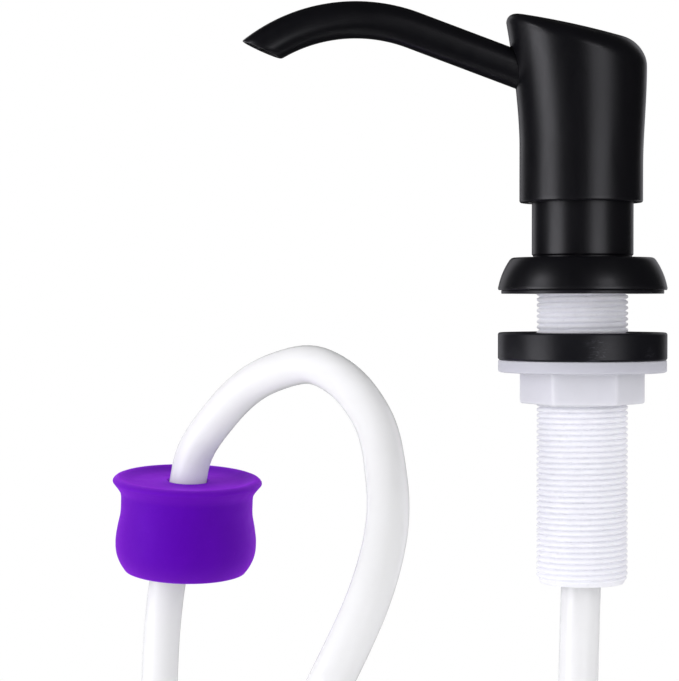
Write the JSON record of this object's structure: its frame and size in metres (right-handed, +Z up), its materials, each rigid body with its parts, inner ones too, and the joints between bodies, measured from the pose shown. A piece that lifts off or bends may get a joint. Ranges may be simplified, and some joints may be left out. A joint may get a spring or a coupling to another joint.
{
  "type": "soap pump dispenser",
  "caption": "Deck-mounted soap pump with a curved spout, swivelling head, threaded shank, lock nut and a supply tube that rises to a soft bottle cap.",
  "frame": {"origin": "middle of the deck hole at the countertop's upper face, which is also the underside of the deck seal, on the pump's axis", "axes": "+Z up along the pump's axis, -X the way the spout points, +Y to the back of the pictured view"},
  "size_m": [0.173, 0.1757, 0.4042],
  "materials": {
    "black_satin": "satin",
    "white_plastic": "moulded, fine satin",
    "natural_plastic": "moulded, slightly translucent",
    "black_rubber": "matt",
    "spring_steel": "drawn, bright",
    "clear_silicone": "milky, satin",
    "purple_silicone": "satin"
  },
  "bodies": {
    "root": {"guide_collar": "black_satin", "escutcheon": "black_satin", "deck_seal": "black_rubber", "threaded_shank": "white_plastic", "pump_housing": "natural_plastic", "retaining_cap": "natural_plastic", "housing_gasket": "black_rubber", "ball_cage": "natural_plastic", "return_spring": "spring_steel", "supply_tube": "clear_silicone"},
    "plunger": {"pump_stem": "natural_plastic", "piston": "black_rubber", "spring_seat": "natural_plastic"},
    "head": {"head_shell": "black_satin", "spout_tube": "black_satin", "spout_liner": "natural_plastic", "head_adapter": "natural_plastic"},
    "inlet_valve": {"inlet_ball": "spring_steel"},
    "outlet_valve": {"outlet_ball": "spring_steel"},
    "gasket": {"under_gasket": "black_rubber"},
    "nut": {"lock_nut": "white_plastic"},
    "cap": {"bottle_cap": "purple_silicone"}
  },
  "joints": [
    {"name": "pump_stroke", "type": "slide", "parent": "root", "child": "plunger", "axis": [0, 0, -1], "range_m": [0, 0.015], "stiffness_N_per_m": 500, "springref_m": -0.012, "deforming": ["return_spring"]},
    {"name": "head_swivel", "type": "hinge", "parent": "plunger", "child": "head", "pos_m": [0, 0, 0.055], "axis": [0, 0, 1], "continuous": true},
    {"name": "inlet_valve_lift", "type": "slide", "parent": "root", "child": "inlet_valve", "axis": [0, 0, 1], "range_m": [0, 0.0018]},
    {"name": "outlet_valve_lift", "type": "slide", "parent": "plunger", "child": "outlet_valve", "axis": [0, 0, 1], "range_m": [0, 0.0015]},
    {"name": "clamp_travel", "type": "slide", "parent": "root", "child": "gasket", "axis": [0, 0, -1], "range_m": [-0.0105, 0.045]},
    {"name": "nut_turn", "type": "hinge", "parent": "gasket", "child": "nut", "pos_m": [0, 0, -0.027], "axis": [0, 0, 1], "range_deg": [-9700, 2260]},
    {"name": "cap_slide", "type": "slide", "parent": "root", "child": "cap", "axis": [-0.2101, 0.12, -0.9703], "range_m": [0, 0.015]}
  ],
  "couplings": [
    {"joint": "clamp_travel", "follows": "nut_turn", "m_per_rad": -0.00026579}
  ]
}
